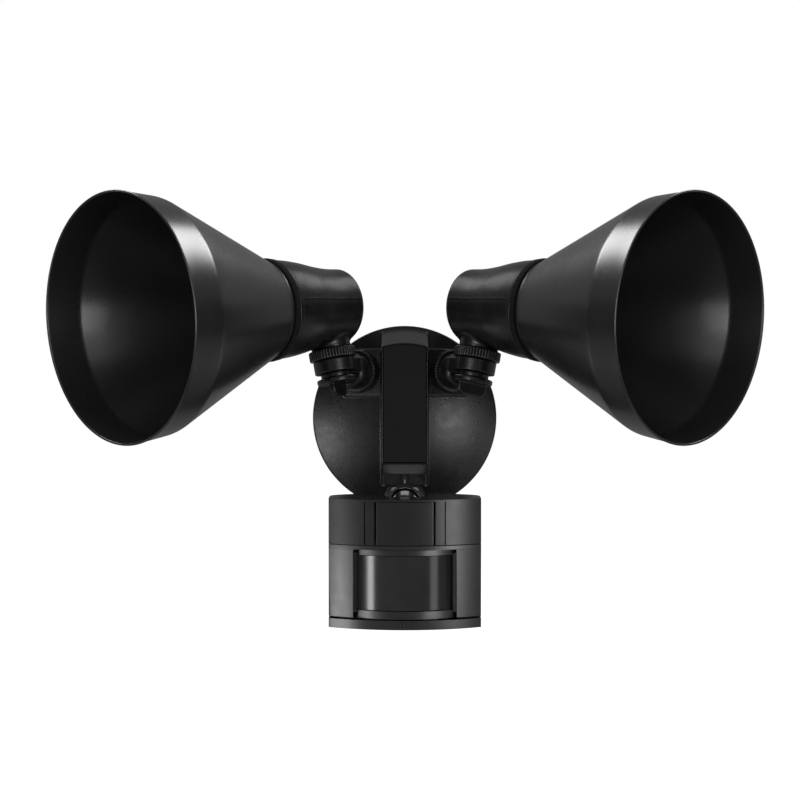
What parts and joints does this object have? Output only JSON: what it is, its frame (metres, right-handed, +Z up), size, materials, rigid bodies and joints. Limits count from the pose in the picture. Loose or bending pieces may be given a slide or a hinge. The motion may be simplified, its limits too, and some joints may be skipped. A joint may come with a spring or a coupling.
{
  "type": "motion sensor floodlight",
  "caption": "Wall floodlight with two bell-shaped lamp shades on swivel arms, a round canopy and a motion sensor head on a ball joint.",
  "frame": {"origin": "centre of the canopy's back on the wall plane, where the wall box is", "axes": "+X to the right as seen from the front, +Y into the wall so the front faces -Y, +Z up"},
  "size_m": [0.411, 0.2028, 0.2508],
  "materials": {
    "cast_black": "die-cast aluminium with satin black powder coat",
    "black_enamel": "spun aluminium with smooth semi-gloss black coat",
    "sensor_plastic": "moulded black plastic with a fine matte texture",
    "gloss_black": "smooth glossy black plastic",
    "lens_plastic": "dark polyethylene lens, satin",
    "seal_rubber": "matte black foam rubber",
    "zinc_steel": "zinc plated",
    "green_screw": "green plated grounding screw",
    "aluminium": "bright rolled aluminium",
    "brass": "plain brass",
    "porcelain": "glazed porcelain",
    "board_green": "green circuit board"
  },
  "bodies": {
    "canopy": {"canopy": "cast_black", "wall_gasket": "seal_rubber", "spine_cover": "cast_black", "mounting_strap": "zinc_steel", "center_bolt": "zinc_steel", "ground_screw": "green_screw", "ball_stud": "gloss_black", "stud_nut": "zinc_steel"},
    "arm_left": {"arm_left": "cast_black", "thumb_washer_left": "cast_black"},
    "arm_nut_left": {"arm_nut_left": "cast_black"},
    "thumb_screw_left": {"thumb_screw_left": "cast_black"},
    "lamp_left": {"lamp_holder_left": "cast_black", "holder_gasket_left": "seal_rubber", "shade_left": "black_enamel", "shade_ring_left": "aluminium", "socket_body_left": "porcelain", "screw_shell_left": "aluminium", "center_contact_left": "brass", "swivel_nut_left": "zinc_steel"},
    "stem_nut_left": {"stem_nut_left": "cast_black"},
    "arm_right": {"arm_right": "cast_black", "thumb_washer_right": "cast_black"},
    "arm_nut_right": {"arm_nut_right": "cast_black"},
    "thumb_screw_right": {"thumb_screw_right": "cast_black"},
    "lamp_right": {"lamp_holder_right": "cast_black", "holder_gasket_right": "seal_rubber", "shade_right": "black_enamel", "shade_ring_right": "aluminium", "socket_body_right": "porcelain", "screw_shell_right": "aluminium", "center_contact_right": "brass", "swivel_nut_right": "zinc_steel"},
    "stem_nut_right": {"stem_nut_right": "cast_black"},
    "sensor_yoke": {"ball_liner": "gloss_black"},
    "sensor_head": {"ball_collar": "gloss_black", "collar_retainer": "sensor_plastic", "retainer_screw_left": "zinc_steel", "retainer_screw_right": "zinc_steel", "upper_housing": "sensor_plastic", "front_panel": "sensor_plastic", "lower_housing": "sensor_plastic", "lens_frame": "sensor_plastic", "sensor_lens": "lens_plastic", "bottom_cover": "sensor_plastic", "main_board": "board_green", "power_board": "board_green", "relay": "gloss_black", "capacitor": "gloss_black", "heat_sensor": "zinc_steel", "photocell": "gloss_black"},
    "range_dial": {"range_dial": "sensor_plastic"},
    "time_switch": {"time_switch": "sensor_plastic"}
  },
  "joints": [
    {"name": "arm_turn_left", "type": "hinge", "parent": "canopy", "child": "arm_left", "pos_m": [-0.0266, -0.02, 0.0285], "axis": [-0.4226, -0.9063, 0], "range_deg": [-20, 70]},
    {"name": "lamp_swivel_left", "type": "hinge", "parent": "arm_left", "child": "lamp_left", "pos_m": [-0.0416, -0.05217, 0.0285], "axis": [0.1807, -0.0843, -0.9799], "range_deg": [-30, 35]},
    {"name": "arm_nut_turn_left", "type": "hinge", "parent": "arm_left", "child": "arm_nut_left", "pos_m": [-0.0266, -0.02, 0.0285], "axis": [-0.4226, -0.9063, 0], "continuous": true},
    {"name": "thumb_screw_turn_left", "type": "hinge", "parent": "arm_left", "child": "thumb_screw_left", "pos_m": [-0.0416, -0.05217, 0.0285], "axis": [-0.1807, 0.0843, 0.9799], "continuous": true},
    {"name": "stem_nut_turn_left", "type": "hinge", "parent": "lamp_left", "child": "stem_nut_left", "pos_m": [-0.0416, -0.05217, 0.0285], "axis": [-0.1807, 0.0843, 0.9799], "continuous": true},
    {"name": "arm_turn_right", "type": "hinge", "parent": "canopy", "child": "arm_right", "pos_m": [0.0266, -0.02, 0.0285], "axis": [-0.4226, 0.9063, 0], "range_deg": [-20, 70]},
    {"name": "lamp_swivel_right", "type": "hinge", "parent": "arm_right", "child": "lamp_right", "pos_m": [0.0416, -0.05217, 0.0285], "axis": [0.1807, 0.0843, 0.9799], "range_deg": [-30, 35]},
    {"name": "arm_nut_turn_right", "type": "hinge", "parent": "arm_right", "child": "arm_nut_right", "pos_m": [0.0266, -0.02, 0.0285], "axis": [0.4226, -0.9063, 0], "continuous": true},
    {"name": "thumb_screw_turn_right", "type": "hinge", "parent": "arm_right", "child": "thumb_screw_right", "pos_m": [0.0416, -0.05217, 0.0285], "axis": [0.1807, 0.0843, 0.9799], "continuous": true},
    {"name": "stem_nut_turn_right", "type": "hinge", "parent": "lamp_right", "child": "stem_nut_right", "pos_m": [0.0416, -0.05217, 0.0285], "axis": [0.1807, 0.0843, 0.9799], "continuous": true},
    {"name": "sensor_pan", "type": "hinge", "parent": "canopy", "child": "sensor_yoke", "pos_m": [0, -0.033, -0.0506], "axis": [0, 0, 1], "range_deg": [-30, 30]},
    {"name": "sensor_tilt", "type": "hinge", "parent": "sensor_yoke", "child": "sensor_head", "pos_m": [0, -0.033, -0.0506], "axis": [-1, 0, 0], "range_deg": [-20, 25]},
    {"name": "range_dial_turn", "type": "hinge", "parent": "sensor_head", "child": "range_dial", "pos_m": [0.014, -0.04294, -0.12399], "axis": [0, 0.0349, -0.9994], "range_deg": [0, 270]},
    {"name": "time_switch_slide", "type": "slide", "parent": "sensor_head", "child": "time_switch", "axis": [1, 0, 0], "range_m": [0, 0.008]}
  ]
}
